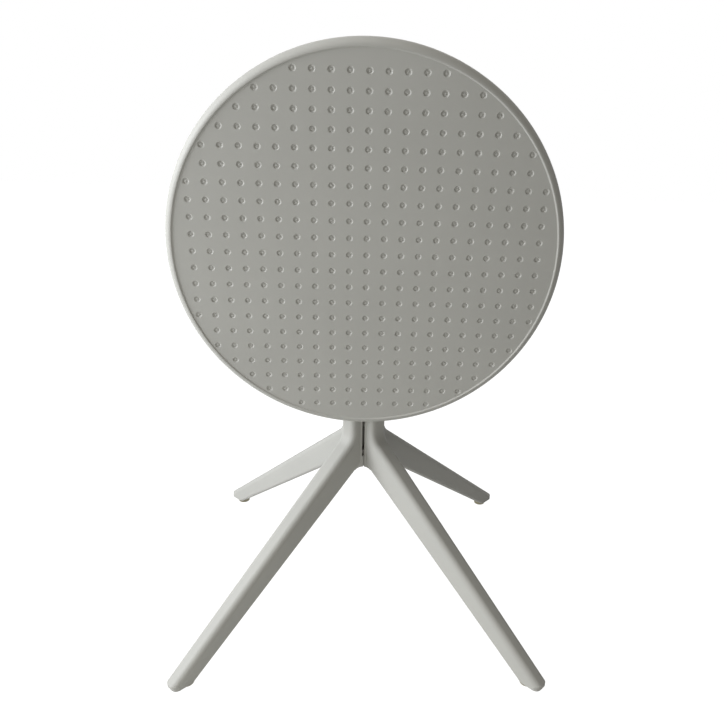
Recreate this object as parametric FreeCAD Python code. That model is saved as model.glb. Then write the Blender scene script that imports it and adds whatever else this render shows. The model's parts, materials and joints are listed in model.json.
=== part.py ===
import FreeCAD
import Part

import math
import os

from FreeCAD import Placement, Rotation, Vector

# A tilt-top bistro table. Origin on the floor under the column's axis, +Z up, -Y is the front,
# the side that the top's face turns to when it is tipped up. Every piece is modelled as it stands
# in that stored pose. All sizes are in millimetres.

# ---- overall sizes
TABLE_HEIGHT = 700.0
TOP_DIAMETER = 600.0
STORED_TILT = 97.2             # degrees that the top turns from level to stored

# ---- tabletop moulding
RIM_WIDTH = 12.5
RIM_RISE = 1.5                 # how far the rim stands above the dimpled field
RIM_BEVEL = 1.5                # width of the slope from the field up to the rim's crest
RIM_FALL = 15.0                # how far the rounded rim falls from its crest to the outer wall
SKIRT_DEPTH = 27.0
SKIRT_WALL = 3.5
SKIN = 4.5
RIB_DEPTH = 12.0
RIB_WALL = 2.5
RIB_HUB = 130.0                # the ring rib round the bracket's screws
RIB_RING_INSET = (95.0, 45.0)  # the other ring ribs in from the top's edge
RADIAL_RIBS = 16
BOSS_RADIUS = 8.0
PILOT_OVER = 1.0               # a pilot hole goes on this much past its screw

# ---- tilt bracket under the top
PLATE_THICK = 3.0
PLATE_HALF_WIDTH = 75.0
PLATE_FRONT = -100.0           # along Y with the top level
PLATE_REAR = 105.0
PLATE_CORNER = 14.0
SCREW_X = 60.0
SCREW_ROWS = (-84.0, 2.0, 88.0)
SCREW_RADIUS = 2.4
SCREW_HEAD_RADIUS = 5.0
SCREW_HEAD = 3.0
SCREW_BITE = 13.0
SCREW_PLAY = 0.3               # radial, where a screw passes through metal
SCREW_HEAD_ROUND = 1.4
DRIVE_HALF = 3.0               # half the length of each slot of the cross
DRIVE_HALF_WIDTH = 0.6
DRIVE_DEPTH = 1.5
EAR_INNER = 18.0               # inner face of each ear from the middle plane
EAR_THICK = 4.0
EAR_FRONT = -50.0              # the ear's root along Y from the pin
EAR_REAR = 36.0
EAR_WAIST = (-20.0, 16.0)      # the ear's front outline above the heel, from the pin
EAR_UNDER = ((-17.0, -9.0), (-9.0, -14.5), (5.0, -14.5), (13.0, -8.0), (16.0, 2.0))
HEEL_RADIUS = 22.7             # the pin to the face that meets the stop pad
HEEL_LENGTH = 10.0

# ---- hinge
PIN_Y = -40.0
PIN_DROP = 70.0                # the pin's axis below the level top's upper face
PIN_RADIUS = 5.0
RUN_CLEARANCE = 0.06           # radial, for the turning fits
FIT_CLEARANCE = 0.05           # radial, for parts seated in the same body
FACE_GAP = 0.3                 # between faces of parts that move on each other
BUSH_WALL = 1.6
BUSH_FLANGE = 3.7              # the flange's thickness, which spaces the ear from the wall
BUSH_FLANGE_RADIUS = 9.0
CLIP_THICK = 1.0
CLIP_RADIUS = 8.5
GROOVE_DEPTH = 1.0
GROOVE_PLAY = 0.05
CLIP_MOUTH = 2.6               # half the opening
PIN_END = 3.0                  # the pin beyond each clip
PIN_CHAMFER = 0.8

# ---- column head
HEAD_PLATE = 8.0
HEAD_WALL = 6.0
HEAD_LEDGE = 6.0               # the plate outside each wall
HEAD_CORNER = 12.0
WALL_SHOULDER = 4.0            # the wall's front edge rises this far above the pin
WALL_SLOPE_RUN = 26.0
WALL_ROUND = 8.0
HEAD_FRONT = -54.0
HEAD_REAR = 44.0
HEAD_DROP = 3.0                # the walls' top below the level bracket plate
SPIGOT_LENGTH = 52.0
SPIGOT_WALL = 5.0
LUG_HALF = 9.0
KEEPER_REACH = 16.0
KEEPER_THICK = 6.0
KEEPER_DROP = 10.0             # its top below the walls' top
KEEPER_CORNER = 5.0
KEEPER_GAP = 0.4               # between the latch and the keeper
STOP_PAD = 3.0
STOP_PAD_LENGTH = 11.0
STOP_PAD_BORDER = 1.0          # the pad beside the ear's heel
BUFFER_LENGTH = 22.0
BUFFER_SEAT = 1.0
BUFFER_INSET = 1.2
BUFFER_FRONT = 42.0            # from the wall's front end
BUFFER_REAR = 16.0
HEAD_SCREW_X = 18.0
HEAD_SCREW_INSET = 3.0         # in from the column's front and back flats
HEAD_SCREW_BITE = 16.0
HEAD_SCREW_HEAD_RADIUS = 4.0
HEAD_SCREW_HEAD = 2.4
HEAD_DRIVE_HALF = 2.4
HEAD_DRIVE_HALF_WIDTH = 0.5
HEAD_DRIVE_DEPTH = 1.4

# ---- latch
LATCH_Y = 78.0                 # pivot of the latch with the top level
LATCH_SWING = 80.0
LATCH_THICK = 8.0
LATCH_HUB = 14.0
LATCH_TONGUE = 32.0
LATCH_TONGUE_WIDTH = 14.0
LATCH_HANDLE = 74.0
LATCH_HANDLE_WIDTH = 18.0
TONGUE_CORNER = 3.0
HANDLE_CORNER = 8.5
LATCH_EDGE = 1.5
GRIP_RADIUS = 1.6
GRIP_PITCH = 7.0
GRIP_COUNT = 5
GRIP_END = 12.0                # the first groove from the handle's end
GRIP_RAISE = 0.6               # a groove's axis below the latch's lower face
SHOULDER_RADIUS = 4.0
LATCH_SCREW_RADIUS = 3.0
LATCH_SCREW_HEAD = 4.0
LATCH_SCREW_HEAD_RADIUS = 8.0
LATCH_SCREW_BITE = 2.0
LATCH_SOCKET_RADIUS = 2.6
LATCH_SOCKET_DEPTH = 2.5
LATCH_SPACER_RADIUS = 12.0

# ---- column and legs
COLUMN_REACH = 41.0            # axis to a lobe's outer face
COLUMN_FLANGE = 29.5           # axis to the flat beside the seam
LEG_WIDTH_TOP = 35.0
LEG_WIDTH_FOOT = 28.5
LEG_TAPER_END = 373.0          # distance from the axis at which the foot width is reached
LEG_TOP_AXIS_Z = 345.0         # the leg's upper line, carried on to the axis
LEG_LOW_AXIS_Z = 277.0         # the leg's lower line, carried on to the axis
LEG_TOP_SLOPE = 0.7945
LEG_LOW_SLOPE = 0.7195
LEG_CLEAR = 5.0                # the leg's flat end above the floor
LEG_ROUND_TOP = 10.0
LEG_ROUND_LOW = 6.0
BEND_ROUND = 32.0
HEEL_ROUND = 20.0
NOSE_ROUND = 5.5
NOSE_PLAN_ROUND = 13.5
LEG_RUN_ON = 60.0              # how far the leg's lines are carried on below the floor
LEG_END_MARGIN = 0.25          # the end block stands this much outside the leg's faces
ARCH_TOP = 257.0
ARCH_RADIUS = 16.0
SEAM_STEP = 278.0              # height where the open seam ends
SEAM_OPEN = 1.8                # each half's setback above the step
SEAM_CLOSED = 1.5              # the right half's setback below the step
SEAM_DEPTH = 9.5
SEAM_FOOT_DEPTH = 3.5          # the narrow gap below the step
SEAM_EASE = 1.0                # bevel of each half's outer edge at the seam
SEAM_RUN = 20.0                # how far the narrow gap is cut below the arch's top
COLUMN_WALL = 8.0
WEB_THICK = 8.0
BOLT_RADIUS = 3.0
BOLT_PLAY = 0.3                # radial, in its hole
BOLT_BOSS_RADIUS = 9.0
BOLT_HEAD_RADIUS = 5.5
BOLT_SINK_PLAY = 1.0           # radial, round its head
BOLT_SINK = 4.0
BOLT_HEAD = 3.6
BOLT_HEAD_ROUND = 1.8
BOLT_SOCKET_RADIUS = 2.3       # to the hexagon's corners
BOLT_SOCKET_DEPTH = 2.0
BOLT_IN_NUT = 5.0
NUT_EXTRA = 2.4                # the nut is deeper than the bolt head by this
LOW_BOLT_Z = 330.0
HEAD_BOLT_DROP = 28.0          # the top bolt below the column's top
CORE_INSET = 1.0               # the core's cut corners stay this far inside the lobes' outer faces
CORE_DROP = 27.0               # the column's core below the legs' lower line at the axis

# ---- levelling feet
FOOT_REACH = 387.0             # pad's centre from the axis, along the leg
PAD_RADIUS = 12.5
PAD_THICK = 8.6
PAD_ROUND = 2.0
PAD_EASE = 1.2
STUD_CHAMFER = 0.8
STUD_TIP_GAP = 1.0
POCKET_GAP = 0.5
STUD_RADIUS = 4.0
STUD_TOP = 28.0
STUD_ROOT = 4.0                # depth that the stud is moulded into the pad
INSERT_WALL = 1.44
INSERT_TOP = 24.0
INSERT_RISE = 3.5              # the insert starts this far above the pad's pocket

# ---- places that follow
PIN_Z = TABLE_HEIGHT - PIN_DROP
SKIRT_Z = TABLE_HEIGHT - SKIRT_DEPTH
FIELD_Z = TABLE_HEIGHT - RIM_RISE
SKIN_LOW = FIELD_Z - SKIN
RIB_LOW = SKIN_LOW - RIB_DEPTH
PLATE_Z = SKIRT_Z
PLATE_TOP = PLATE_Z + PLATE_THICK
EAR_OUTER = EAR_INNER + EAR_THICK
WALL_INNER = EAR_OUTER + BUSH_FLANGE + FACE_GAP
HEAD_HALF_X = WALL_INNER + HEAD_WALL
WALL_TOP = PLATE_Z - HEAD_DROP
RIB_RINGS = (RIB_HUB,) + tuple(TOP_DIAMETER / 2 - inset for inset in RIB_RING_INSET)
HEAD_TOP = PIN_Z - HEEL_RADIUS - FACE_GAP - STOP_PAD
COLUMN_TOP = HEAD_TOP - HEAD_PLATE
BUSH_RADIUS = PIN_RADIUS + RUN_CLEARANCE + BUSH_WALL
KEEPER_TOP = WALL_TOP - KEEPER_DROP
KEEPER_LOW = KEEPER_TOP - KEEPER_THICK
LATCH_TOP = KEEPER_LOW - KEEPER_GAP
LATCH_LOW = LATCH_TOP - LATCH_THICK
POCKET_TOP = PAD_THICK + POCKET_GAP
INSERT_LOW = POCKET_TOP + INSERT_RISE
INSERT_RADIUS = STUD_RADIUS + RUN_CLEARANCE + INSERT_WALL
BOLT_HOLE_RADIUS = BOLT_RADIUS + BOLT_PLAY
BOLT_SINK_RADIUS = BOLT_HEAD_RADIUS + BOLT_SINK_PLAY
DIAGONALS = {"fl": (-1, -1), "fr": (1, -1), "bl": (-1, 1), "br": (1, 1)}


def box(low, high):
    """A block between two corners."""
    size = [high[i] - low[i] for i in range(3)]
    return Part.makeBox(size[0], size[1], size[2], Vector(*low))


def cylinder(radius, start, end):
    """A round bar between two points."""
    start = Vector(*start)
    run = Vector(*end) - start
    return Part.makeCylinder(radius, run.Length, start, run)


def prism(points, run):
    """A polygon carried along a vector."""
    corners = [Vector(*point) for point in points]
    wire = Part.makePolygon(corners + corners[:1])
    return Part.Face(wire).extrude(Vector(*run))


def fuse(shapes):
    """One clean solid from several that meet."""
    whole = shapes[0].fuse(shapes[1:])
    return whole.removeSplitter()


def tipped(shape):
    """A shape made with the top level, turned about the pin to its stored place."""
    turn = Placement(Vector(0, 0, 0), Rotation(Vector(1, 0, 0), STORED_TILT), Vector(0, PIN_Y, PIN_Z))
    return shape.transformed(turn.toMatrix())


def save(name, shape):
    """Write one named piece, and refuse a broken one."""
    if not shape.isValid():
        raise ValueError(name + " isn't a valid shape")
    shape.exportStep("parts/" + name + ".step")
    print(name, len(shape.Solids), round(shape.Volume / 1000.0, 2), "cm3")


# ---------------------------------------------------------------- tabletop

def revolved(curves):
    """A closed outline in the XZ plane turned about the top's own axis."""
    face = Part.Face(Part.Wire([curve.toShape() for curve in curves]))
    return face.revolve(Vector(0, 0, 0), Vector(0, 0, 1), 360)


def path(points):
    """Straight lines through (radius, height) points."""
    ends = [Vector(radius, 0, height) for radius, height in points]
    return [Part.LineSegment(start, end) for start, end in zip(ends, ends[1:])]


def top_form():
    """The top's outer form, filled: field, rim and outer wall."""
    radius = TOP_DIAMETER / 2
    field = radius - RIM_WIDTH
    crest = field + RIM_BEVEL
    wall_top = TABLE_HEIGHT - RIM_FALL
    middle = Vector(crest, 0, wall_top)
    rounding = Part.Ellipse(Vector(crest, 0, TABLE_HEIGHT), Vector(radius, 0, wall_top), middle)
    return revolved(path([(0, SKIRT_Z), (0, FIELD_Z), (field, FIELD_Z), (crest, TABLE_HEIGHT)])
                    + [Part.ArcOfEllipse(rounding, 0, math.pi / 2)]
                    + path([(radius, wall_top), (radius, SKIRT_Z), (0, SKIRT_Z)]))


def top_hollow():
    """The space under the skin and inside the skirt."""
    inner = TOP_DIAMETER / 2 - SKIRT_WALL
    low = SKIRT_Z - 1
    return revolved(path([(0, low), (0, SKIN_LOW), (inner - SKIRT_WALL, SKIN_LOW),
                          (inner, SKIN_LOW - SKIRT_WALL), (inner, low), (0, low)]))


def ring(radius, wall, low, high):
    """An upright ring."""
    outside = Part.makeCylinder(radius + wall / 2, high - low, Vector(0, 0, low))
    return outside.cut(Part.makeCylinder(radius - wall / 2, high - low, Vector(0, 0, low)))


def screw_places():
    """Where the bracket is screwed to the top, with the top level."""
    return [(side * SCREW_X, row) for side in (-1, 1) for row in SCREW_ROWS]


def make_tabletop():
    """The moulded top whole: skin, rim, skirt, rings, radial ribs and screw bosses."""
    low = RIB_LOW
    high = SKIN_LOW + SKIN / 2
    form = top_form()
    shapes = [form.cut(top_hollow())]
    shapes += [ring(radius, RIB_WALL, low, high) for radius in RIB_RINGS]
    reach = TOP_DIAMETER / 2 - SKIRT_WALL / 2
    for count in range(RADIAL_RIBS):
        rib = box((RIB_HUB, -RIB_WALL / 2, low), (reach, RIB_WALL / 2, high))
        rib.rotate(Vector(0, 0, 0), Vector(0, 0, 1), 360.0 * (count + 0.5) / RADIAL_RIBS)
        shapes.append(rib.common(form))
    half_rib = RIB_WALL / 2
    for x in (-SCREW_X, SCREW_X):
        half = math.sqrt(RIB_HUB ** 2 - x ** 2)
        shapes.append(box((x - half_rib, -half, low), (x + half_rib, half, high)))
    for row in SCREW_ROWS:
        half = math.sqrt(RIB_HUB ** 2 - row ** 2)
        shapes.append(box((-half, row - half_rib, low), (half, row + half_rib, high)))
    for x, y in screw_places():
        shapes.append(cylinder(BOSS_RADIUS, (x, y, PLATE_TOP), (x, y, high)))
    top = fuse(shapes)
    for x, y in screw_places():
        depth = PLATE_TOP + SCREW_BITE + PILOT_OVER
        pilot = cylinder(SCREW_RADIUS + FIT_CLEARANCE, (x, y, PLATE_TOP), (x, y, depth))
        top = top.cut(pilot)
    return top


def top_sections():
    """The one moulding as three simple shapes: ribbed disc, hanging skirt wall and hanging bosses."""
    whole = make_tabletop()
    reach = TOP_DIAMETER
    below = box((-reach, -reach, SKIRT_Z - 1), (reach, reach, RIB_LOW))
    disc = whole.cut(below)
    hanging = whole.common(below).Solids
    skirt = [solid for solid in hanging if solid.BoundBox.XLength > TOP_DIAMETER / 2]
    bosses = [solid for solid in hanging if solid.BoundBox.XLength < TOP_DIAMETER / 2]
    return disc, Part.makeCompound(skirt), Part.makeCompound(bosses)


# ---------------------------------------------------------------- bracket and hinge

def make_bracket():
    """The plate under the top with two hinge ears and the latch spacer."""
    plate = box((-PLATE_HALF_WIDTH, PLATE_FRONT, PLATE_Z), (PLATE_HALF_WIDTH, PLATE_REAR, PLATE_TOP))
    corners = [edge for edge in plate.Edges if abs(edge.tangentAt(edge.FirstParameter).z) > 0.9]
    plate = plate.makeFillet(PLATE_CORNER, corners)
    tilt = math.radians(STORED_TILT)
    out = (-math.sin(tilt), -math.cos(tilt))         # the heel face's outward direction, top level
    along = (-math.cos(tilt), math.sin(tilt))
    heel = [(HEEL_RADIUS * out[0] + step * along[0], HEEL_RADIUS * out[1] + step * along[1])
            for step in (HEEL_LENGTH, 0.0)]
    reach = PIN_DROP - SKIRT_DEPTH + PLATE_THICK / 2
    outline = [(EAR_FRONT, reach), EAR_WAIST] + heel + list(EAR_UNDER) + [(EAR_REAR, reach)]
    shapes = [plate]
    for x in (-EAR_OUTER, EAR_INNER):
        points = [(x, PIN_Y + u, PIN_Z + v) for u, v in outline]
        shapes.append(prism(points, (EAR_THICK, 0, 0)))
    spacer_low = LATCH_TOP + FACE_GAP
    shapes.append(cylinder(LATCH_SPACER_RADIUS, (0, LATCH_Y, spacer_low), (0, LATCH_Y, PLATE_TOP)))
    bracket = fuse(shapes)
    bore = cross_bar(BUSH_RADIUS + FIT_CLEARANCE, -EAR_OUTER - 1, EAR_OUTER + 1)
    screw = cylinder(LATCH_SCREW_RADIUS + FIT_CLEARANCE, (0, LATCH_Y, spacer_low - 1),
                     (0, LATCH_Y, PLATE_TOP + 1))
    bracket = bracket.cut([bore, screw])
    for x, y in screw_places():
        hole = cylinder(SCREW_RADIUS + SCREW_PLAY, (x, y, PLATE_Z - 1), (x, y, PLATE_TOP + 1))
        bracket = bracket.cut(hole)
    return bracket


def make_bracket_screws():
    """Pan-head screws from below into the top's bosses."""
    screws = []
    for x, y in screw_places():
        shank = cylinder(SCREW_RADIUS, (x, y, PLATE_Z), (x, y, PLATE_TOP + SCREW_BITE))
        head = cylinder(SCREW_HEAD_RADIUS, (x, y, PLATE_Z - SCREW_HEAD), (x, y, PLATE_Z))
        rim = [edge for edge in head.Edges if edge.CenterOfMass.z < PLATE_Z - SCREW_HEAD + 0.1]
        head = head.makeFillet(SCREW_HEAD_ROUND, [edge for edge in rim if edge.Length > SCREW_HEAD_RADIUS])
        low = PLATE_Z - SCREW_HEAD
        drive = cross_slots(x, y, DRIVE_HALF, DRIVE_HALF_WIDTH, low - 1, low + DRIVE_DEPTH)
        screws.append(fuse([shank, head]).cut(drive))
    return Part.makeCompound(screws)


def cross_slots(x, y, half, half_width, low, high):
    """The two slots of a cross recess."""
    return [box((x - half, y - half_width, low), (x + half, y + half_width, high)),
            box((x - half_width, y - half, low), (x + half_width, y + half, high))]


def cross_bar(radius, start, end):
    """A round bar on the pin's axis between two distances from the middle plane."""
    return cylinder(radius, (start, PIN_Y, PIN_Z), (end, PIN_Y, PIN_Z))


def make_bushes():
    """A flanged plain bush in each ear."""
    bushes = []
    for side in (-1, 1):
        flange_end = WALL_INNER - FACE_GAP
        sleeve = cross_bar(BUSH_RADIUS, side * EAR_INNER, side * flange_end)
        flange = cross_bar(BUSH_FLANGE_RADIUS, side * EAR_OUTER, side * flange_end)
        bore = cross_bar(PIN_RADIUS + RUN_CLEARANCE, side * (EAR_INNER - 1), side * (flange_end + 1))
        bushes.append(fuse([sleeve, flange]).cut(bore))
    return Part.makeCompound(bushes)


def clip_place():
    """Where each retaining clip starts along the pin, from the middle plane."""
    return HEAD_HALF_X + FACE_GAP


def make_pin():
    """The hinge pin with a groove near each end."""
    end = clip_place() + CLIP_THICK + PIN_END
    pin = cross_bar(PIN_RADIUS, -end, end)
    ends = [edge for edge in pin.Edges if edge.Curve.TypeId == "Part::GeomCircle"]
    pin = pin.makeChamfer(PIN_CHAMFER, ends)
    for side in (-1, 1):
        start = side * (clip_place() - GROOVE_PLAY)
        stop = side * (clip_place() + CLIP_THICK + GROOVE_PLAY)
        band = cross_bar(PIN_RADIUS + 1, start, stop)
        pin = pin.cut(band.cut(cross_bar(PIN_RADIUS - GROOVE_DEPTH, start, stop)))
    return pin


def make_clips():
    """The retaining rings, each open on one side so that it snaps on."""
    clips = []
    for side in (-1, 1):
        start = side * clip_place()
        stop = side * (clip_place() + CLIP_THICK)
        disc = cross_bar(CLIP_RADIUS, start, stop)
        hole = cross_bar(PIN_RADIUS - GROOVE_DEPTH + FIT_CLEARANCE, start, stop)
        mouth = box((min(start, stop), PIN_Y - CLIP_MOUTH, PIN_Z - CLIP_RADIUS - 1),
                    (max(start, stop), PIN_Y + CLIP_MOUTH, PIN_Z))
        clips.append(disc.cut([hole, mouth]))
    return Part.makeCompound(clips)


# ---------------------------------------------------------------- column head

def make_head():
    """The casting on the column: spigot, plate, two hinge walls and the latch keeper."""
    inner = COLUMN_FLANGE - COLUMN_WALL - FACE_GAP
    spigot = box((-inner, -inner, COLUMN_TOP - SPIGOT_LENGTH), (inner, inner, COLUMN_TOP))
    core = inner - SPIGOT_WALL
    hollow = box((-core, -core, COLUMN_TOP - SPIGOT_LENGTH), (core, core, COLUMN_TOP - SPIGOT_WALL))
    lug_z = COLUMN_TOP - HEAD_BOLT_DROP
    lug = box((-inner, -LUG_HALF, lug_z - LUG_HALF), (inner, LUG_HALF, lug_z + LUG_HALF))
    spigot = fuse([spigot.cut(hollow), lug])
    half = HEAD_HALF_X + HEAD_LEDGE
    plate = box((-half, HEAD_FRONT, COLUMN_TOP), (half, HEAD_REAR, HEAD_TOP))
    upright = [edge for edge in plate.Edges if abs(edge.tangentAt(edge.FirstParameter).z) > 0.9]
    plate = plate.makeFillet(HEAD_CORNER, upright)
    outline = [(HEAD_FRONT, COLUMN_TOP + 1), (HEAD_FRONT, PIN_Z + WALL_SHOULDER),
               (HEAD_FRONT + WALL_SLOPE_RUN, WALL_TOP),
               (HEAD_REAR, WALL_TOP), (HEAD_REAR, COLUMN_TOP + 1)]
    shapes = [spigot, plate]
    for x in (-HEAD_HALF_X, WALL_INNER):
        wall = prism([(x, y, z) for y, z in outline], (HEAD_WALL, 0, 0))
        bends = [edge for edge in wall.Edges if edge.Length < HEAD_WALL + 0.1
                 and edge.CenterOfMass.z > PIN_Z]
        shapes.append(wall.makeFillet(WALL_ROUND, bends))
    back = HEAD_REAR - HEAD_WALL
    shapes.append(box((-WALL_INNER - 1, back, COLUMN_TOP + 1), (WALL_INNER + 1, HEAD_REAR, KEEPER_TOP)))
    keeper = box((-WALL_INNER, back, KEEPER_LOW), (WALL_INNER, HEAD_REAR + KEEPER_REACH, KEEPER_TOP))
    tips = [edge for edge in keeper.Edges if abs(edge.tangentAt(edge.FirstParameter).z) > 0.9
            and edge.CenterOfMass.y > HEAD_REAR]
    shapes.append(keeper.makeFillet(KEEPER_CORNER, tips))
    head = fuse(shapes)
    cuts = [cross_bar(PIN_RADIUS + FIT_CLEARANCE, -HEAD_HALF_X - 1, HEAD_HALF_X + 1),
            cylinder(BOLT_HOLE_RADIUS, (-inner - 1, 0, lug_z), (inner + 1, 0, lug_z))]
    cuts += [stop_pad_block(side, FIT_CLEARANCE) for side in (-1, 1)]
    cuts += [buffer_block(side, y, FIT_CLEARANCE) for side in (-1, 1) for y in buffer_rows()]
    cuts += [cylinder(SCREW_RADIUS + SCREW_PLAY, (x, y, COLUMN_TOP - 1), (x, y, HEAD_TOP + 1))
             for x, y in head_screw_places()]
    return head.cut(cuts)


def stop_pad_block(side, grow):
    """A rubber pad let into the head plate, under an ear's heel."""
    low_x, high_x = sorted((side * (EAR_INNER - STOP_PAD_BORDER), side * (EAR_OUTER + STOP_PAD_BORDER)))
    return box((low_x - grow, PIN_Y - STOP_PAD_LENGTH - grow, HEAD_TOP - BUFFER_SEAT - grow),
               (high_x + grow, PIN_Y + grow, HEAD_TOP + STOP_PAD))


def buffer_rows():
    """Where the rest buffers lie along the head walls."""
    return (HEAD_FRONT + BUFFER_FRONT, HEAD_REAR - BUFFER_REAR)


def buffer_block(side, y, grow):
    """A rubber strip let into the top of a head wall."""
    low_x, high_x = sorted((side * (WALL_INNER + BUFFER_INSET), side * (HEAD_HALF_X - BUFFER_INSET)))
    return box((low_x - grow, y - BUFFER_LENGTH / 2 - grow, WALL_TOP - BUFFER_SEAT - grow),
               (high_x + grow, y + BUFFER_LENGTH / 2 + grow, PLATE_Z - FACE_GAP))


def head_screw_places():
    """Four screws through the head plate into the column halves' end walls."""
    y = COLUMN_FLANGE - HEAD_SCREW_INSET
    return [(side_x * HEAD_SCREW_X, side_y * y) for side_x in (-1, 1) for side_y in (-1, 1)]


def make_head_screws():
    """Screws that hold the head plate down."""
    screws = []
    for x, y in head_screw_places():
        top = HEAD_TOP + HEAD_SCREW_HEAD
        shank = cylinder(SCREW_RADIUS, (x, y, COLUMN_TOP - HEAD_SCREW_BITE), (x, y, HEAD_TOP))
        head = cylinder(HEAD_SCREW_HEAD_RADIUS, (x, y, HEAD_TOP), (x, y, top))
        drive = cross_slots(x, y, HEAD_DRIVE_HALF, HEAD_DRIVE_HALF_WIDTH, top - HEAD_DRIVE_DEPTH, top + 1)
        screws.append(fuse([shank, head]).cut(drive))
    return Part.makeCompound(screws)


# ---------------------------------------------------------------- latch

def make_latch():
    """The turn latch: hub, tongue and handle, made open, with the top level."""
    hub = cylinder(LATCH_HUB, (0, 0, LATCH_LOW), (0, 0, LATCH_TOP))
    half = LATCH_TONGUE_WIDTH / 2
    tongue = box((0, -half, LATCH_LOW), (LATCH_TONGUE, half, LATCH_TOP))
    ends = [edge for edge in tongue.Edges if abs(edge.tangentAt(edge.FirstParameter).z) > 0.9
            and edge.CenterOfMass.x > LATCH_TONGUE / 2]
    tongue = tongue.makeFillet(TONGUE_CORNER, ends)
    grip = LATCH_HANDLE_WIDTH / 2
    handle = box((-LATCH_HANDLE, -grip, LATCH_LOW), (0, grip, LATCH_TOP))
    ends = [edge for edge in handle.Edges if abs(edge.tangentAt(edge.FirstParameter).z) > 0.9
            and edge.CenterOfMass.x < -LATCH_HANDLE / 2]
    handle = handle.makeFillet(HANDLE_CORNER, ends)
    latch = fuse([hub, tongue, handle])
    rims = [edge for edge in latch.Edges if abs(edge.CenterOfMass.z - LATCH_LOW) < 0.01]
    latch = latch.makeFillet(LATCH_EDGE, rims)
    bore = cylinder(SHOULDER_RADIUS + RUN_CLEARANCE, (0, 0, LATCH_LOW - 1), (0, 0, LATCH_TOP + 1))
    groove_x = [-LATCH_HANDLE + GRIP_END + GRIP_PITCH * count for count in range(GRIP_COUNT)]
    groove_z = LATCH_LOW - GRIP_RAISE
    grips = [cylinder(GRIP_RADIUS, (x, -grip, groove_z), (x, grip, groove_z)) for x in groove_x]
    latch = latch.cut([bore] + grips)
    latch.rotate(Vector(0, 0, 0), Vector(0, 0, 1), LATCH_SWING - 90)
    latch.translate(Vector(0, LATCH_Y, 0))
    return latch


def make_latch_pivot():
    """The shoulder screw that the latch turns on."""
    seat = LATCH_LOW - FACE_GAP
    low = seat - LATCH_SCREW_HEAD
    head = cylinder(LATCH_SCREW_HEAD_RADIUS, (0, LATCH_Y, low), (0, LATCH_Y, seat))
    shoulder = cylinder(SHOULDER_RADIUS, (0, LATCH_Y, seat), (0, LATCH_Y, LATCH_TOP + FACE_GAP))
    thread = cylinder(LATCH_SCREW_RADIUS, (0, LATCH_Y, seat), (0, LATCH_Y, PLATE_TOP + LATCH_SCREW_BITE))
    socket = cylinder(LATCH_SOCKET_RADIUS, (0, LATCH_Y, low - 1), (0, LATCH_Y, low + LATCH_SOCKET_DEPTH))
    return fuse([head, shoulder, thread]).cut(socket)


# ---------------------------------------------------------------- base

def leg_top_z(reach):
    """Height of the leg's upper line at a distance from the axis."""
    return LEG_TOP_AXIS_Z - LEG_TOP_SLOPE * reach


def leg_half_width(reach):
    """Half the leg's width at a distance from the axis."""
    return (LEG_WIDTH_TOP + (LEG_WIDTH_FOOT - LEG_WIDTH_TOP) * reach / LEG_TAPER_END) / 2


def edges_near(shape, test):
    """The edges whose middle point passes a test."""
    chosen = []
    for edge in shape.Edges:
        middle = edge.valueAt((edge.FirstParameter + edge.LastParameter) / 2)
        if test(middle, edge):
            chosen.append(edge)
    return chosen


def leg_blank():
    """One leg and its quarter of the column, along +X, with sharp edges and carried on below the floor."""
    outline = [(0, COLUMN_TOP), (COLUMN_REACH, COLUMN_TOP), (COLUMN_REACH, leg_top_z(COLUMN_REACH)),
               ((LEG_TOP_AXIS_Z + LEG_RUN_ON) / LEG_TOP_SLOPE, -LEG_RUN_ON),
               ((LEG_LOW_AXIS_Z + LEG_RUN_ON) / LEG_LOW_SLOPE, -LEG_RUN_ON), (0, LEG_LOW_AXIS_Z)]
    body = prism([(x, -LEG_WIDTH_TOP, z) for x, z in outline], (0, 2 * LEG_WIDTH_TOP, 0))
    bend = edges_near(body, lambda mid, edge: abs(mid.x - COLUMN_REACH) < 0.1
                      and abs(mid.z - leg_top_z(COLUMN_REACH)) < 0.1)
    body = body.makeFillet(BEND_ROUND, bend)
    end = (LEG_TOP_AXIS_Z + LEG_RUN_ON) / LEG_TOP_SLOPE
    near = leg_half_width(0)
    far = leg_half_width(end)
    low = -LEG_RUN_ON - 1
    return body.common(prism([(0, -near, low), (end, -far, low), (end, far, low), (0, near, low)],
                             (0, 0, COLUMN_TOP - low)))


def leg_end():
    """The block that ends a leg: flat over the floor, heel and nose rounded, tips round in plan."""
    top = LEG_TOP_AXIS_Z + LEG_END_MARGIN
    low = LEG_LOW_AXIS_Z - LEG_END_MARGIN
    nose = (top - LEG_CLEAR) / LEG_TOP_SLOPE
    heel = (low - LEG_CLEAR) / LEG_LOW_SLOPE
    wide = LEG_WIDTH_TOP
    mid = LEG_TAPER_END
    outline = [(-1, COLUMN_TOP + 1), (mid, COLUMN_TOP + 1), (mid, top - LEG_TOP_SLOPE * mid),
               (nose, LEG_CLEAR), (heel, LEG_CLEAR), (-1, low)]
    side = prism([(x, -wide, z) for x, z in outline], (0, 2 * wide, 0))
    for x, radius in ((heel, HEEL_ROUND), (nose, NOSE_ROUND)):
        corner = edges_near(side, lambda at, edge: abs(at.x - x) < 0.1 and abs(at.z - LEG_CLEAR) < 0.1)
        side = side.makeFillet(radius, corner)
    reach = side.BoundBox.XMax
    half = leg_half_width(reach) + LEG_END_MARGIN
    near = leg_half_width(0) + LEG_END_MARGIN
    corners = [(-1, -near, 0), (reach, -half, 0), (reach, half, 0), (-1, near, 0)]
    plan = prism(corners, (0, 0, COLUMN_TOP + 2))
    tips = edges_near(plan, lambda at, edge: at.x > reach - 0.1 and abs(abs(at.y) - half) < 0.1
                      and abs(edge.tangentAt(edge.FirstParameter).z) > 0.9)
    return side.common(plan.makeFillet(NOSE_PLAN_ROUND, tips))


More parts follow.
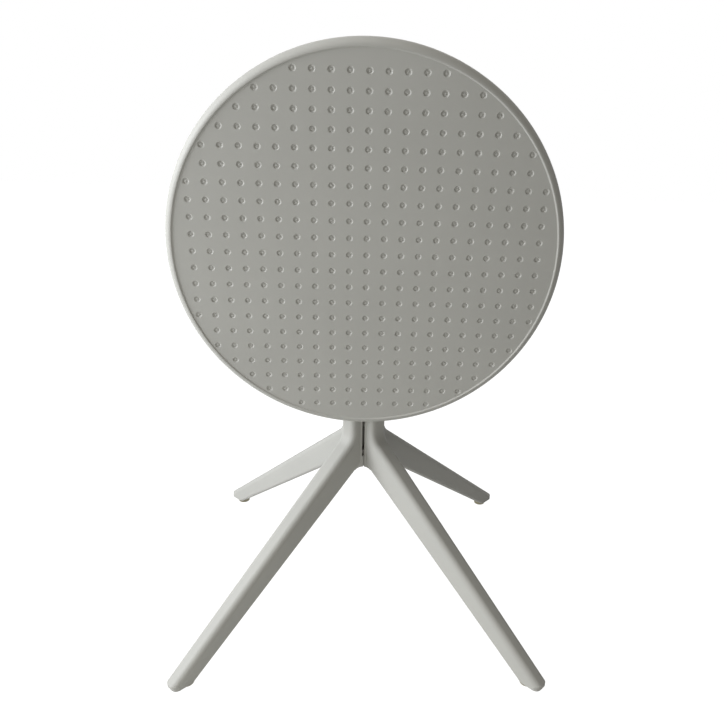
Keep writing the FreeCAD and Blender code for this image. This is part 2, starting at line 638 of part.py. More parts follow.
def make_leg():
    """One leg with its long edges rounded and its end shaped."""
    leg = leg_blank()

    def upper(mid, edge):
        on_side = abs(abs(mid.y) - leg_half_width(mid.x)) < 0.2
        on_column = abs(mid.x - COLUMN_REACH) < 0.2 and mid.z > leg_top_z(COLUMN_REACH)
        past_column = mid.x > COLUMN_REACH
        on_bend = past_column and mid.x < COLUMN_REACH + BEND_ROUND and mid.z > leg_top_z(mid.x) + 0.2
        on_leg = past_column and abs(mid.z - leg_top_z(mid.x)) < 0.2
        return on_side and (on_column or on_bend or on_leg) and mid.z < COLUMN_TOP - 1
    leg = leg.makeFillet(LEG_ROUND_TOP, edges_near(leg, upper))

    def lower(mid, edge):
        on_side = abs(abs(mid.y) - leg_half_width(mid.x)) < 0.2
        return on_side and abs(mid.z - LEG_LOW_AXIS_Z + LEG_LOW_SLOPE * mid.x) < 0.2
    leg = leg.makeFillet(LEG_ROUND_LOW, edges_near(leg, lower))
    return leg.common(leg_end())


def arch(axis):
    """The rounded crotch between neighbouring legs, cut right across along one axis."""
    middle = ARCH_TOP - ARCH_RADIUS
    reach = 2 * COLUMN_REACH
    if axis == "x":
        return cylinder(ARCH_RADIUS, (-reach, 0, middle), (reach, 0, middle))
    return cylinder(ARCH_RADIUS, (0, -reach, middle), (0, reach, middle))


def column_cavities():
    """The hollows inside the right half: one for the spigot, two beside the web below it."""
    inner = COLUMN_FLANGE - COLUMN_WALL
    seat = COLUMN_TOP - SPIGOT_LENGTH - FACE_GAP
    floor = SEAM_STEP + COLUMN_WALL
    half_web = WEB_THICK / 2
    cuts = [box((-1, -inner, seat), (inner, inner, COLUMN_TOP + 1))]
    for low_y, high_y in ((-inner, -half_web), (half_web, inner)):
        cuts.append(box((-1, low_y, floor), (inner, high_y, seat - COLUMN_WALL)))
    bosses = [cylinder(BOLT_BOSS_RADIUS, (0, 0, z), (COLUMN_FLANGE - 1, 0, z)) for z in bolt_heights()[:-1]]
    return [cavity.cut(bosses) for cavity in cuts[1:]] + cuts[:1]


def bolt_heights():
    """Every clamp bolt's height, evenly spaced: two in the column and one through the head's spigot."""
    high = COLUMN_TOP - HEAD_BOLT_DROP
    return [LOW_BOLT_Z, (LOW_BOLT_Z + high) / 2, high]


def seam_cuts(width, depth, low, high):
    """What a half loses beside the seam between two heights, at the front and at the back."""
    outer = COLUMN_REACH + 1
    cuts = []
    for side in (-1, 1):
        low_y, high_y = sorted((side * (COLUMN_FLANGE - depth), side * outer))
        cuts.append(box((-1, low_y, low), (width, high_y, high)))
        corners = [(-1, side * outer, low), (width + outer - COLUMN_FLANGE + SEAM_EASE, side * outer, low),
                   (width, side * (COLUMN_FLANGE - SEAM_EASE), low)]
        cuts.append(prism(corners, (0, 0, high - low)))
    return cuts


def foot_cuts(x, y):
    """The pad's pocket and the insert's hole in a leg's end."""
    pocket = cylinder(PAD_RADIUS + POCKET_GAP, (x, y, LEG_CLEAR - 1), (x, y, POCKET_TOP))
    seat = cylinder(INSERT_RADIUS + FIT_CLEARANCE, (x, y, INSERT_LOW), (x, y, INSERT_TOP))
    way = cylinder(STUD_RADIUS + FACE_GAP, (x, y, POCKET_TOP - 1), (x, y, STUD_TOP + STUD_TIP_GAP))
    return [pocket, seat, way]


def foot_place(name):
    """A foot's centre on the floor."""
    side_x, side_y = DIAGONALS[name]
    step = FOOT_REACH / math.sqrt(2)
    return side_x * step, side_y * step


def make_base_half(side):
    """Half the column with a front and a back leg. side is 1 for the right half, -1 for the left."""
    low = LEG_LOW_AXIS_Z - CORE_DROP
    corner = (COLUMN_REACH - CORE_INSET) * math.sqrt(2) - COLUMN_FLANGE
    outline = [(0, -COLUMN_FLANGE), (corner, -COLUMN_FLANGE), (COLUMN_FLANGE, -corner),
               (COLUMN_FLANGE, corner), (corner, COLUMN_FLANGE), (0, COLUMN_FLANGE)]
    shapes = [prism([(x, y, low) for x, y in outline], (0, 0, COLUMN_TOP - low))]
    for turn in (-45, 45):
        leg = make_leg()
        leg.rotate(Vector(0, 0, 0), Vector(0, 0, 1), turn)
        shapes.append(leg)
    half = fuse(shapes)
    reach = 2 * TOP_DIAMETER
    cuts = [box((-reach, -reach, -1), (0, reach, COLUMN_TOP + 1)), arch("x"), arch("y")]
    cuts += column_cavities()
    for z in bolt_heights():
        cuts.append(cylinder(BOLT_HOLE_RADIUS, (-1, 0, z), (COLUMN_FLANGE + 1, 0, z)))
        cuts.append(cylinder(BOLT_SINK_RADIUS, (COLUMN_FLANGE - BOLT_SINK, 0, z), (COLUMN_REACH, 0, z)))
    cuts += seam_cuts(SEAM_OPEN, SEAM_DEPTH, SEAM_STEP, COLUMN_TOP + 1)
    if side > 0:
        cuts += seam_cuts(SEAM_CLOSED, SEAM_FOOT_DEPTH, ARCH_TOP - SEAM_RUN, SEAM_STEP)
    for name in ("fr", "br"):
        cuts += foot_cuts(*foot_place(name))
    pilot_low = COLUMN_TOP - HEAD_SCREW_BITE - PILOT_OVER
    cuts += [cylinder(SCREW_RADIUS + FIT_CLEARANCE, (x, y, pilot_low), (x, y, COLUMN_TOP + 1))
             for x, y in head_screw_places() if x > 0]
    half = half.cut(cuts)
    return half if side > 0 else half.mirror(Vector(0, 0, 0), Vector(1, 0, 0))


def make_column_bolts():
    """The clamp bolts through both halves, heads on the right."""
    seat = COLUMN_FLANGE - BOLT_SINK
    bolts = []
    for z in bolt_heights():
        shank = cylinder(BOLT_RADIUS, (-seat - BOLT_IN_NUT, 0, z), (seat, 0, z))
        head = cylinder(BOLT_HEAD_RADIUS, (seat, 0, z), (seat + BOLT_HEAD, 0, z))
        end = seat + BOLT_HEAD
        rim = [edge for edge in head.Edges if edge.CenterOfMass.x > end - 0.1
               and edge.Length > BOLT_HEAD_RADIUS]
        head = head.makeFillet(BOLT_HEAD_ROUND, rim)
        turns = [math.radians(60 * count) for count in range(6)]
        hexagon = [(end - BOLT_SOCKET_DEPTH, BOLT_SOCKET_RADIUS * math.cos(turn),
                    z + BOLT_SOCKET_RADIUS * math.sin(turn)) for turn in turns]
        socket = prism(hexagon, (BOLT_SOCKET_DEPTH + 1, 0, 0))
        bolts.append(fuse([shank, head]).cut(socket))
    return Part.makeCompound(bolts)


def make_column_nuts():
    """Barrel nuts let into the left half."""
    seat = COLUMN_FLANGE - BOLT_SINK
    nuts = []
    for z in bolt_heights():
        nut = cylinder(BOLT_HEAD_RADIUS, (-seat - BOLT_HEAD - NUT_EXTRA, 0, z), (-seat, 0, z))
        rim = [edge for edge in nut.Edges if edge.CenterOfMass.x < -seat - BOLT_HEAD
               and edge.Length > BOLT_HEAD_RADIUS]
        nut = nut.makeFillet(BOLT_HEAD_ROUND, rim)
        depth = seat + BOLT_IN_NUT + FACE_GAP
        hole = cylinder(BOLT_RADIUS + FIT_CLEARANCE, (-depth, 0, z), (-seat + 1, 0, z))
        nuts.append(nut.cut(hole))
    return Part.makeCompound(nuts)


def make_foot_pad(x, y):
    """A round levelling pad, its lower edge rounded and its upper edge eased."""
    pad = cylinder(PAD_RADIUS, (x, y, 0), (x, y, PAD_THICK))
    low = [edge for edge in pad.Edges if edge.CenterOfMass.z < 0.1 and edge.Length > 2 * PAD_RADIUS]
    pad = pad.makeFillet(PAD_ROUND, low)
    high = [edge for edge in pad.Edges if edge.CenterOfMass.z > PAD_THICK - 0.1
            and edge.Length > 2 * PAD_RADIUS]
    pad = pad.makeFillet(PAD_EASE, high)
    root = PAD_THICK - STUD_ROOT
    return pad.cut(cylinder(STUD_RADIUS + FIT_CLEARANCE, (x, y, root), (x, y, PAD_THICK + 1)))


def make_foot_stud(x, y):
    """The pad's threaded stud."""
    stud = cylinder(STUD_RADIUS, (x, y, PAD_THICK - STUD_ROOT), (x, y, STUD_TOP))
    tip = [edge for edge in stud.Edges if edge.CenterOfMass.z > STUD_TOP - 0.1
           and edge.Length > 2 * STUD_RADIUS]
    return stud.makeChamfer(STUD_CHAMFER, tip)


def make_foot_inserts():
    """The threaded sleeves moulded into the four legs."""
    inserts = []
    for name in DIAGONALS:
        x, y = foot_place(name)
        body = cylinder(INSERT_RADIUS, (x, y, INSERT_LOW), (x, y, INSERT_TOP))
        bore = cylinder(STUD_RADIUS + RUN_CLEARANCE, (x, y, INSERT_LOW - 1), (x, y, INSERT_TOP + 1))
        inserts.append(body.cut(bore))
    return Part.makeCompound(inserts)


def main():
    """Build and save every piece."""
    os.makedirs("parts", exist_ok=True)
    for name, section in zip(("tabletop", "tabletop_skirt", "tabletop_bosses"), top_sections()):
        save(name, tipped(section))
    save("tilt_bracket", tipped(make_bracket()))
    save("bracket_screws", tipped(make_bracket_screws()))
    save("bracket_bushes", tipped(make_bushes()))
    save("latch_pivot", tipped(make_latch_pivot()))
    save("latch_lever", tipped(make_latch()))
    save("hinge_pin", make_pin())
    save("hinge_clips", make_clips())
    save("column_head", make_head())
    save("head_screws", make_head_screws())
    save("stop_pads", Part.makeCompound([stop_pad_block(side, 0) for side in (-1, 1)]))
    save("rest_buffers", Part.makeCompound([buffer_block(side, y, 0)
                                            for side in (-1, 1) for y in buffer_rows()]))
    save("base_half_right", make_base_half(1))
    save("base_half_left", make_base_half(-1))
    save("column_bolts", make_column_bolts())
    save("column_nuts", make_column_nuts())
    save("foot_inserts", make_foot_inserts())
    for name in DIAGONALS:
        x, y = foot_place(name)
        save("foot_pad_" + name, make_foot_pad(x, y))
        save("foot_stud_" + name, make_foot_stud(x, y))


main()
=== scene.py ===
import json
import math

import bmesh
import bpy
from mathutils import Matrix, Vector
from mathutils.geometry import delaunay_2d_cdt


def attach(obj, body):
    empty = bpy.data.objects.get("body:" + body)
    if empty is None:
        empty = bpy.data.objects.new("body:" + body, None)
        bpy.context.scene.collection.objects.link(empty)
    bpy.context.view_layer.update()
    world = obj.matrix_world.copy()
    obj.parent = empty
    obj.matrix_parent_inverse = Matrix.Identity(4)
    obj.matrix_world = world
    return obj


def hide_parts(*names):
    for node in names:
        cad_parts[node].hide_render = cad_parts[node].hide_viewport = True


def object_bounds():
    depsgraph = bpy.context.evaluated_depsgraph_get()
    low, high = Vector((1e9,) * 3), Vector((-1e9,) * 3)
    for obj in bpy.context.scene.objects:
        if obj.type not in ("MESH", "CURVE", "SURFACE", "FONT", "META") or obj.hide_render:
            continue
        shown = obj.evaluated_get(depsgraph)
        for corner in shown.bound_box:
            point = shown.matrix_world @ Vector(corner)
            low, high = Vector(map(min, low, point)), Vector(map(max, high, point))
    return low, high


# Looks for the tilt-top bistro table: a dimpled moulded top, materials for every piece, light and
# camera. Lengths are in metres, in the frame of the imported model: +Z up, -Y the front.

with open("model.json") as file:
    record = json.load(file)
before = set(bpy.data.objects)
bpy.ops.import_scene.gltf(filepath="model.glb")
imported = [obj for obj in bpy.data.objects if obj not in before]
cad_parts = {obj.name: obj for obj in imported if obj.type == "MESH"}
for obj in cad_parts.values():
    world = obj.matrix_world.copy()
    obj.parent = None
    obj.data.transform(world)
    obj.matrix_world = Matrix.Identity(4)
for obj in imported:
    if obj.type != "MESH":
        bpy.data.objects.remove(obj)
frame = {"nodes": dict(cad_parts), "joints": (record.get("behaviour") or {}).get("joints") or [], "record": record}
CAD_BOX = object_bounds()
NODES = frame["nodes"]
MM = 0.001

# ---- the face of the top
DIMPLE_PITCH = 25.9 * MM
DIMPLE_REACH = 11                # dimples lie on the square grid inside this many pitches
DIMPLE_STEPS = 20                # points round each dimple
DIMPLE_PROFILE = (               # radius and depth in mm: a flat ring, the pit's wall, the button
    (5.6, 0.0), (5.2, 0.0), (4.85, -0.08), (4.45, -0.4), (4.0, -0.9), (3.5, -1.35),
    (2.95, -1.5), (2.3, -1.42), (1.7, -1.2), (0.9, -1.0))
DIMPLE_MIDDLE = -0.92            # depth in mm at the button's middle
RIM_STEPS = 14                   # points along the rim's rounding
RIM_SIDES = 288                  # points round the rim
CREST_ROUND = 0.5 * MM           # rounding of the rim's crest and of the foot of its inner slope
CORNER_SHARE = 0.4               # the most of a side that the rounding of its corner may take
SHARP_ANGLE = math.radians(38)   # an edge that turns more than this stays sharp

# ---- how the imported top's faces and points are told apart
WELD = 0.002 * MM                # points nearer than this are one
LEVEL_FACE = 0.999               # least upward part of a normal, for a level face
FIELD_FACE = 0.9999              # the same for the faces that make up the field
SAME_HEIGHT = 0.02 * MM
SAME_RADIUS = 0.05 * MM
WALL_BAND = 1.0 * MM             # the outer wall's faces lie this near to the top's radius
WALL_OUTWARD = 0.5               # least outward part of their normals
SKIN_UPWARD = 0.01               # least upward part of a normal, for a face of the skin
MERGE = 1e-7                     # points of the field's triangles nearer than this are one

# ---- camera and light
CAMERA_PLACE = (0.0033, -1.1710, 0.8841)
CAMERA_TURN = (69.816, -1.93, -1.998)        # degrees about X, Y and Z
CAMERA_LENS = 35.183                         # mm
CAMERA_SENSOR = 36.0                         # mm
CAMERA_SHIFT = (-0.0479, -0.0051)
LAMPS = {                        # direction from the table, distance, size, power and colour
    "key": ((-0.91, -0.25, 0.37), 2.4, 1.5, 66.0, (0.935, 0.96, 1.0)),
    "overhead": ((0.0, -0.25, 1.0), 2.2, 1.6, 9.6, (1.0, 0.97, 0.9)),
    "front_fill": ((-0.12, -1.0, -0.12), 1.25, 0.7, 1.3, (1.0, 0.96, 0.84)),
}
ROOM_COLOUR = (1.0, 0.965, 0.89)
ROOM_LIGHT = 0.09
FLOOR_COLOUR = (0.86, 0.86, 0.85)
FLOOR_WHITE = 0.85               # how much of the floor's look, for the camera, is plain white
FLOOR_GLOW = 1.25                # that white's brightness, so that the floor meets the backdrop
FLOOR_SIZE = 12.0

# ---- colours of the materials
RESIN_COLOUR = (0.484, 0.480, 0.447)
SCUFF_COLOUR = (0.70, 0.70, 0.68)
SCUFF_HEIGHT = 0.16              # scuffs fade out by this height above the floor
POWDER_COLOUR = (0.052, 0.052, 0.050)
ZINC_COLOUR = (0.60, 0.60, 0.585)
BRASS_COLOUR = (0.48, 0.30, 0.075)
AMBER_COLOUR = (0.15, 0.125, 0.05)
AMBER_IOR = 1.5
ACETAL_COLOUR = (0.70, 0.68, 0.60)
NYLON_COLOUR = (0.022, 0.022, 0.023)
RUBBER_COLOUR = (0.012, 0.012, 0.012)
ROUGHNESS_SPREAD = 0.06          # a moulded plastic's roughness varies this much each way


# ---------------------------------------------------------------- materials

MIX_INPUTS = (0, 6, 7)           # a mix node's share and its two colours
MIX_OUTPUT = 2                   # the blended colour


class Shader:
    """A material's node tree with short ways to add and join nodes."""

    def __init__(self, name):
        self.material = bpy.data.materials.new(name)
        self.material.use_nodes = True
        self.tree = self.material.node_tree
        self.main = self.tree.nodes["Principled BSDF"]
        self.place = self.tree.nodes.new("ShaderNodeTexCoord").outputs["Object"]

    def add(self, kind, **inputs):
        """A node with values or sockets put on its inputs by name."""
        node = self.tree.nodes.new(kind)
        for name, value in inputs.items():
            self.feed(node.inputs[name.replace("_", " ")], value)
        return node

    def feed(self, socket, value):
        """Another node's socket, a colour or a number on one input."""
        if isinstance(value, bpy.types.NodeSocket):
            self.tree.links.new(value, socket)
        elif isinstance(value, tuple):
            socket.default_value = (*value, 1)
        else:
            socket.default_value = value

    def noise(self, scale, detail=3.0, roughness=0.5):
        """Fractal noise at so many cells a metre."""
        node = self.add("ShaderNodeTexNoise", Vector=self.place, Scale=scale, Detail=detail,
                        Roughness=roughness)
        return node.outputs["Fac"]

    def ramp(self, value, stops):
        """A grey ramp between two stops (place, grey)."""
        node = self.tree.nodes.new("ShaderNodeValToRGB")
        elements = node.color_ramp.elements
        for element, (at, grey) in zip(elements, stops):
            element.position = at
            element.color = (grey, grey, grey, 1)
        self.feed(node.inputs["Fac"], value)
        return node.outputs["Color"]

    def mix(self, share, first, second):
        """A blend of two colours."""
        node = self.tree.nodes.new("ShaderNodeMix")
        node.data_type = "RGBA"
        for number, value in zip(MIX_INPUTS, (share, first, second)):
            self.feed(node.inputs[number], value)
        return node.outputs[MIX_OUTPUT]

    def product(self, first, second):
        """Two values multiplied."""
        node = self.tree.nodes.new("ShaderNodeMath")
        node.operation = "MULTIPLY"
        self.feed(node.inputs[0], first)
        self.feed(node.inputs[1], second)
        return node.outputs[0]

    def between(self, value, low, high):
        """A value from 0 to 1 carried to a range."""
        node = self.add("ShaderNodeMapRange", Value=value, To_Min=low, To_Max=high)
        return node.outputs["Result"]

    def bump(self, height, distance, strength=1.0, below=None):
        """Surface relief of a real depth in metres."""
        node = self.add("ShaderNodeBump", Height=height, Distance=distance, Strength=strength)
        if below:
            self.feed(node.inputs["Normal"], below)
        return node.outputs["Normal"]

    def set(self, **values):
        """Values or sockets on the main shader."""
        for name, value in values.items():
            self.feed(self.main.inputs[name.replace("_", " ")], value)
        return self.material


def tinted(colour, share):
    """A colour made lighter or darker by a share."""
    return tuple(min(1.0, part * (1 + share)) for part in colour)


def resin_material():
    """Matt moulded resin: fine grain, faint cloudiness, shallow waves and scuffs near the floor."""
    shader = Shader("resin_matt")
    clouds = shader.ramp(shader.noise(5.0, detail=2.0), ((0.3, 0.0), (0.7, 1.0)))
    colour = shader.mix(clouds, tinted(RESIN_COLOUR, -0.025), tinted(RESIN_COLOUR, 0.03))
    specks = shader.ramp(shader.noise(2600.0, detail=2.0), ((0.62, 0.0), (0.8, 0.35)))
    colour = shader.mix(specks, colour, tinted(RESIN_COLOUR, -0.12))
    height = shader.add("ShaderNodeSeparateXYZ", Vector=shader.place).outputs["Z"]
    near_floor = shader.add("ShaderNodeMapRange", Value=height, From_Min=0.0,
                            From_Max=SCUFF_HEIGHT, To_Min=1.0, To_Max=0.0)
    marks = shader.ramp(shader.noise(75.0, detail=4.0, roughness=0.65), ((0.70, 0.0), (0.76, 0.8)))
    scuffs = shader.product(near_floor.outputs["Result"], marks)
    colour = shader.mix(scuffs, colour, SCUFF_COLOUR)
    waves = shader.bump(shader.noise(32.0, detail=1.0), distance=0.00025, strength=0.5)
    grain = shader.noise(1900.0, detail=3.0, roughness=0.6)
    normal = shader.bump(grain, distance=0.00006, strength=0.55, below=waves)
    roughness = shader.between(shader.noise(240.0), 0.50, 0.62)
    return shader.set(Base_Color=colour, Roughness=roughness, Normal=normal,
                      Specular_IOR_Level=0.4)


def powder_coat_material():
    """Satin dark grey powder coat with orange peel."""
    shader = Shader("powder_coat")
    colour = shader.mix(shader.noise(14.0, detail=2.0), tinted(POWDER_COLOUR, -0.15),
                        tinted(POWDER_COLOUR, 0.2))
    normal = shader.bump(shader.noise(650.0, detail=2.0), distance=0.00012, strength=0.6)
    roughness = shader.between(shader.noise(380.0, detail=2.0), 0.36, 0.52)
    return shader.set(Base_Color=colour, Roughness=roughness, Normal=normal)


def zinc_material():
    """Zinc-plated steel: bright, with a faint spangle."""
    shader = Shader("zinc_plate")
    cells = shader.add("ShaderNodeTexVoronoi", Vector=shader.place, Scale=420.0)
    spangle = shader.ramp(cells.outputs["Distance"], ((0.1, 0.0), (0.7, 1.0)))
    colour = shader.mix(spangle, tinted(ZINC_COLOUR, -0.12), tinted(ZINC_COLOUR, 0.08))
    roughness = shader.between(shader.noise(900.0), 0.24, 0.42)
    normal = shader.bump(shader.noise(1500.0, detail=2.0), distance=0.00002, strength=0.5)
    return shader.set(Base_Color=colour, Roughness=roughness, Normal=normal, Metallic=1.0)


def plain_plastic(name, base, rough, grain):
    """A moulded plastic with its own colour, middle roughness and grain depth."""
    shader = Shader(name)
    colour = shader.mix(shader.noise(30.0, detail=2.0), tinted(base, -0.06), tinted(base, 0.08))
    normal = shader.bump(shader.noise(1300.0), distance=grain, strength=0.6)
    roughness = shader.between(shader.noise(300.0, detail=2.0), rough - ROUGHNESS_SPREAD,
                               rough + ROUGHNESS_SPREAD)
    return shader.set(Base_Color=colour, Roughness=roughness, Normal=normal)


def brass_material():
    """Turned brass with fine rings."""
    shader = Shader("turned_brass")
    rings = shader.add("ShaderNodeTexWave", Vector=shader.place, Scale=900.0, Distortion=0.6)
    rings.bands_direction = "Z"
    colour = shader.mix(shader.noise(60.0, detail=2.0), tinted(BRASS_COLOUR, -0.15),
                        tinted(BRASS_COLOUR, 0.1))
    normal = shader.bump(rings.outputs["Fac"], distance=0.00003, strength=0.6)
    roughness = shader.between(shader.noise(500.0, detail=2.0), 0.25, 0.4)
    return shader.set(Base_Color=colour, Roughness=roughness, Normal=normal, Metallic=1.0)


def glide_material():
    """Translucent amber polyurethane, a little cloudy."""
    shader = Shader("amber_glide")
    colour = shader.mix(shader.noise(90.0), tinted(AMBER_COLOUR, -0.3), tinted(AMBER_COLOUR, 0.25))
    roughness = shader.between(shader.noise(350.0, detail=2.0), 0.14, 0.3)
    normal = shader.bump(shader.noise(700.0, detail=2.0), distance=0.00003, strength=0.5)
    return shader.set(Base_Color=colour, Roughness=roughness, Normal=normal,
                      Transmission_Weight=0.25, IOR=AMBER_IOR, Coat_Weight=0.5)


MATERIALS = {
    "resin": resin_material(),
    "bracket_metal": powder_coat_material(),
    "zinc": zinc_material(),
    "bush": plain_plastic("natural_acetal", ACETAL_COLOUR, rough=0.4, grain=0.00002),
    "latch": plain_plastic("dark_nylon", NYLON_COLOUR, rough=0.46, grain=0.00005),
    "rubber": plain_plastic("black_rubber", RUBBER_COLOUR, rough=0.72, grain=0.00008),
    "insert": brass_material(),
    "glide": glide_material(),
}
SLOTS = {part["node"]: part["material_slot"] for part in frame["record"]["subparts"]}


def paint(piece, slot):
    """Give a piece its slot's material and nothing else."""
    piece.data.materials.clear()
    piece.data.materials.append(MATERIALS[slot])


for name, node in NODES.items():
    paint(node, SLOTS[name])


# ---------------------------------------------------------------- tabletop

TILT = next(joint for joint in frame["joints"] if joint["name"] == "top_tilt")
PIN = Vector(TILT["pos_m"])
LEVEL = (Matrix.Translation(PIN)
         @ Matrix.Rotation(math.radians(TILT["range_deg"][1]), 4, Vector(TILT["axis"]))
         @ Matrix.Translation(-PIN))


def around(point):
    """Distance from the upright axis."""
    return math.hypot(point.x, point.y)


def welded_level_top():
    """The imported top, turned level, with its split points joined."""
    mesh = bmesh.new()
    mesh.from_mesh(NODES["tabletop"].data)
    mesh.transform(LEVEL)
    bmesh.ops.remove_doubles(mesh, verts=mesh.verts, dist=WELD)
    mesh.normal_update()
    return mesh


def top_sizes(mesh):
    """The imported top's radius and height, its field and crest, and where its rounding ends."""
    level = [face for face in mesh.faces if face.normal.z > LEVEL_FACE]
    field_z = max(level, key=lambda face: face.calc_area()).verts[0].co.z
    field = [vert for face in mesh.faces if face.normal.z > FIELD_FACE for vert in face.verts
             if abs(vert.co.z - field_z) < SAME_HEIGHT]
    radius = max(around(vert.co) for vert in mesh.verts)
    height = max(vert.co.z for vert in mesh.verts)
    wall = [vert.co.z for vert in mesh.verts if radius - around(vert.co) < SAME_RADIUS]
    crest = min(around(vert.co) for vert in mesh.verts if height - vert.co.z < SAME_HEIGHT)
    return {"radius": radius, "height": height, "field_z": field_z, "crest": crest,
            "field": max(around(vert.co) for vert in field),
            "round_z": max(wall), "wall_z": min(wall)}


def skin_faces(mesh, sizes):
    """The faces of the field, the rim and the outer wall."""
    chosen = []
    for face in mesh.faces:
        middle = face.calc_center_median()
        outward = (face.normal.x * middle.x + face.normal.y * middle.y) / max(around(middle), MM)
        on_wall = around(middle) > sizes["radius"] - WALL_BAND and outward > WALL_OUTWARD
        if face.normal.z > SKIN_UPWARD or on_wall:
            chosen.append(face)
    return chosen


def rounded_corner(before, corner, after, size):
    """Three points that round a corner of a profile."""
    def toward(other):
        away = Vector(other) - Vector(corner)
        return Vector(corner) + away.normalized() * min(size, CORNER_SHARE * away.length)
    start, end = toward(before), toward(after)
    middle = (start + end + 2 * Vector(corner)) / 4
    return [tuple(point) for point in (start, middle, end)]


def rim_profile(sizes):
    """Points (radius, height) from the foot of the outer wall over the rim to the field's edge."""
    width = sizes["radius"] - sizes["crest"]
    fall = sizes["height"] - sizes["round_z"]
    arc = []
    for step in range(RIM_STEPS + 1):
        turn = 0.5 * math.pi * step / RIM_STEPS
        arc.append((sizes["crest"] + width * math.cos(turn),
                    sizes["round_z"] + fall * math.sin(turn)))
    crest, foot = (sizes["crest"], sizes["height"]), (sizes["field"], sizes["field_z"])
    flat = (sizes["field"] - 2 * CREST_ROUND, sizes["field_z"])
    points = [(sizes["radius"], sizes["wall_z"])] + arc[:-1]
    points += rounded_corner(arc[-2], crest, foot, CREST_ROUND)
    return points + rounded_corner(crest, foot, flat, CREST_ROUND) + [flat]


def add_ring(mesh, centre, radius, height, count):
    """A level ring of points round a centre."""
    ring = []
    for step in range(count):
        turn = 2 * math.pi * step / count
        ring.append(mesh.verts.new((centre[0] + radius * math.cos(turn),
                                    centre[1] + radius * math.sin(turn), height)))
    return ring


def bridge(mesh, low, high):
    """Faces between two rings of as many points."""
    count = len(low)
    for at in range(count):
        after = (at + 1) % count
        mesh.faces.new((low[at], low[after], high[after], high[at]))


def dimple_centres():
    """Where the dimples lie, with the top level."""
    reach = range(-DIMPLE_REACH, DIMPLE_REACH + 1)
    return [(DIMPLE_PITCH * i, DIMPLE_PITCH * k) for i in reach for k in reach
            if i * i + k * k < DIMPLE_REACH * DIMPLE_REACH]


def add_dimple(mesh, centre, field_z):
    """One dimple's rings and button, and the points of its outer ring."""
    rings = [add_ring(mesh, centre, radius * MM, field_z + depth * MM, DIMPLE_STEPS)
             for radius, depth in DIMPLE_PROFILE]
    for outer, inner in zip(rings, rings[1:]):
        bridge(mesh, outer, inner)
    middle = mesh.verts.new((*centre, field_z + DIMPLE_MIDDLE * MM))
    last = rings[-1]
    for step in range(DIMPLE_STEPS):
        mesh.faces.new((last[step], last[(step + 1) % DIMPLE_STEPS], middle))
    return rings[0]


def add_field(mesh, edge, field_z):
    """The flat between the rim and the dimples, and the dimples."""
    loops = [edge] + [add_dimple(mesh, centre, field_z) for centre in dimple_centres()]
    verts, owner, edges = [], [], []
    for number, loop in enumerate(loops):
        start = len(verts)
        verts += loop
        owner += [number] * len(loop)
        edges += [(start + at, start + (at + 1) % len(loop)) for at in range(len(loop))]
    flat = [Vector((vert.co.x, vert.co.y)) for vert in verts]
    faces, origin = delaunay_2d_cdt(flat, edges, [], 1, MERGE)[2:4]
    for face in faces:
        corners = [origin[index][0] for index in face]
        owners = {owner[corner] for corner in corners}
        if len(owners) > 1 or owners == {0}:             # a face within one dimple is left out
            mesh.faces.new([verts[corner] for corner in corners])


def make_dimpled_top():
    """The top with its packed underside and a modelled skin: rim, field and dimples."""
    mesh = welded_level_top()
    sizes = top_sizes(mesh)
    bmesh.ops.delete(mesh, geom=skin_faces(mesh, sizes), context="FACES")
    rings = [add_ring(mesh, (0, 0), radius, height, RIM_SIDES)
             for radius, height in rim_profile(sizes)]
    for outer, inner in zip(rings, rings[1:]):
        bridge(mesh, outer, inner)
    add_field(mesh, rings[-1], sizes["field_z"])
    bmesh.ops.recalc_face_normals(mesh, faces=mesh.faces)
    for edge in mesh.edges:
        edge.smooth = edge.is_manifold and edge.calc_face_angle(0.0) < SHARP_ANGLE
    for face in mesh.faces:
        face.smooth = True
    mesh.transform(LEVEL.inverted())
    data = bpy.data.meshes.new("dimpled_top")
    mesh.to_mesh(data)
    mesh.free()
    piece = bpy.data.objects.new("dimpled_top", data)
    bpy.context.scene.collection.objects.link(piece)
    paint(piece, "resin")
    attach(piece, "top")
    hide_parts("tabletop")


make_dimpled_top()


# ---------------------------------------------------------------- floor, light and camera

def make_floor():
    """A pale floor that shows nearly white and keeps the table's shadow."""
    bpy.ops.mesh.primitive_plane_add(size=FLOOR_SIZE, location=(0, 0, 0))
    floor = bpy.context.object
    floor.name = "floor"
    material = bpy.data.materials.new("pale_floor")
    material.use_nodes = True
    nodes, links = material.node_tree.nodes, material.node_tree.links
    nodes.clear()
    matt = nodes.new("ShaderNodeBsdfDiffuse")
    matt.inputs["Color"].default_value = (*FLOOR_COLOUR, 1)
    white = nodes.new("ShaderNodeEmission")
    white.inputs["Strength"].default_value = FLOOR_GLOW
    share = nodes.new("ShaderNodeMixShader")
    links.new(white_share(nodes, links, FLOOR_WHITE), share.inputs["Fac"])
    links.new(matt.outputs[0], share.inputs[1])
    links.new(white.outputs[0], share.inputs[2])
    output = nodes.new("ShaderNodeOutputMaterial")
    links.new(share.outputs[0], output.inputs["Surface"])
    floor.data.materials.append(material)


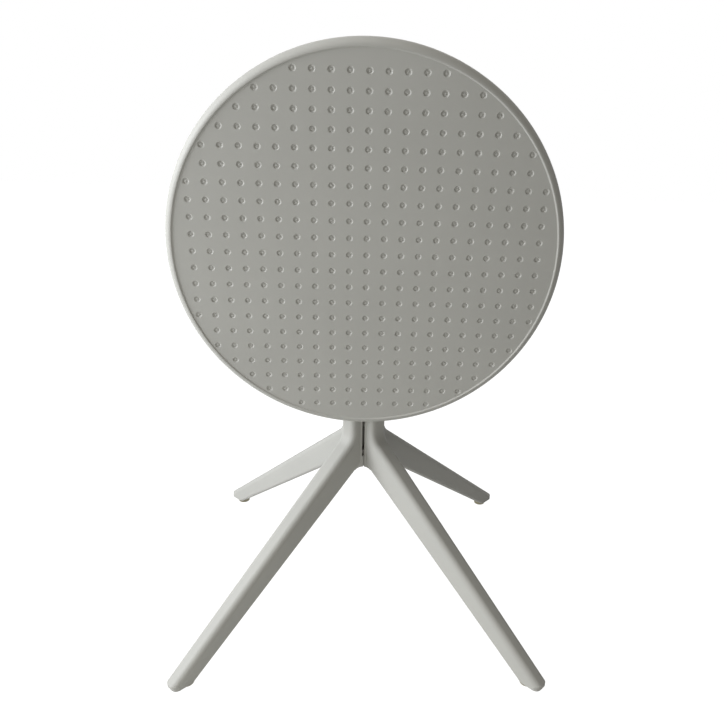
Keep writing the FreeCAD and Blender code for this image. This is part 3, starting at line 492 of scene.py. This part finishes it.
def white_share(nodes, links, share):
    """The share of plain white for camera, glossy and transmission rays; none for the rest."""
    path = nodes.new("ShaderNodeLightPath")
    total = path.outputs["Is Camera Ray"]
    for name in ("Is Glossy Ray", "Is Transmission Ray"):
        either = nodes.new("ShaderNodeMath")
        either.operation = "MAXIMUM"
        links.new(total, either.inputs[0])
        links.new(path.outputs[name], either.inputs[1])
        total = either.outputs[0]
    scaled = nodes.new("ShaderNodeMath")
    scaled.operation = "MULTIPLY"
    links.new(total, scaled.inputs[0])
    scaled.inputs[1].default_value = share
    return scaled.outputs[0]


def make_world():
    """A white background over soft room light."""
    world = bpy.data.worlds.new("studio")
    bpy.context.scene.world = world
    world.use_nodes = True
    nodes, links = world.node_tree.nodes, world.node_tree.links
    nodes.clear()
    room = nodes.new("ShaderNodeBackground")
    room.inputs["Color"].default_value = (*ROOM_COLOUR, 1)
    room.inputs["Strength"].default_value = ROOM_LIGHT
    white = nodes.new("ShaderNodeBackground")
    white.inputs["Color"].default_value = (1, 1, 1, 1)
    share = nodes.new("ShaderNodeMixShader")
    links.new(white_share(nodes, links, 1.0), share.inputs["Fac"])
    links.new(room.outputs[0], share.inputs[1])
    links.new(white.outputs[0], share.inputs[2])
    output = nodes.new("ShaderNodeOutputWorld")
    links.new(share.outputs[0], output.inputs["Surface"])


def make_lamp(name, direction, distance, size, power, colour):
    """A round soft light aimed at the middle of the table."""
    aim = (CAD_BOX[0] + CAD_BOX[1]) / 2
    direction = Vector(direction).normalized()
    lamp = bpy.data.lights.new(name, "AREA")
    lamp.shape = "DISK"
    lamp.size = size
    lamp.energy = power
    lamp.color = colour
    light = bpy.data.objects.new(name, lamp)
    light.location = aim + direction * distance
    light.rotation_euler = direction.to_track_quat("Z", "Y").to_euler()
    bpy.context.scene.collection.objects.link(light)


def make_camera():
    """The camera, a little above the table's top and looking down."""
    data = bpy.data.cameras.new("camera")
    data.lens = CAMERA_LENS
    data.sensor_width = CAMERA_SENSOR
    data.shift_x, data.shift_y = CAMERA_SHIFT
    camera = bpy.data.objects.new("camera", data)
    camera.location = CAMERA_PLACE
    camera.rotation_euler = [math.radians(angle) for angle in CAMERA_TURN]
    bpy.context.scene.collection.objects.link(camera)
    bpy.context.scene.camera = camera


make_floor()
make_world()
for lamp_name, settings in LAMPS.items():
    make_lamp(lamp_name, *settings)
make_camera()
bpy.context.scene.view_settings.view_transform = "Standard"
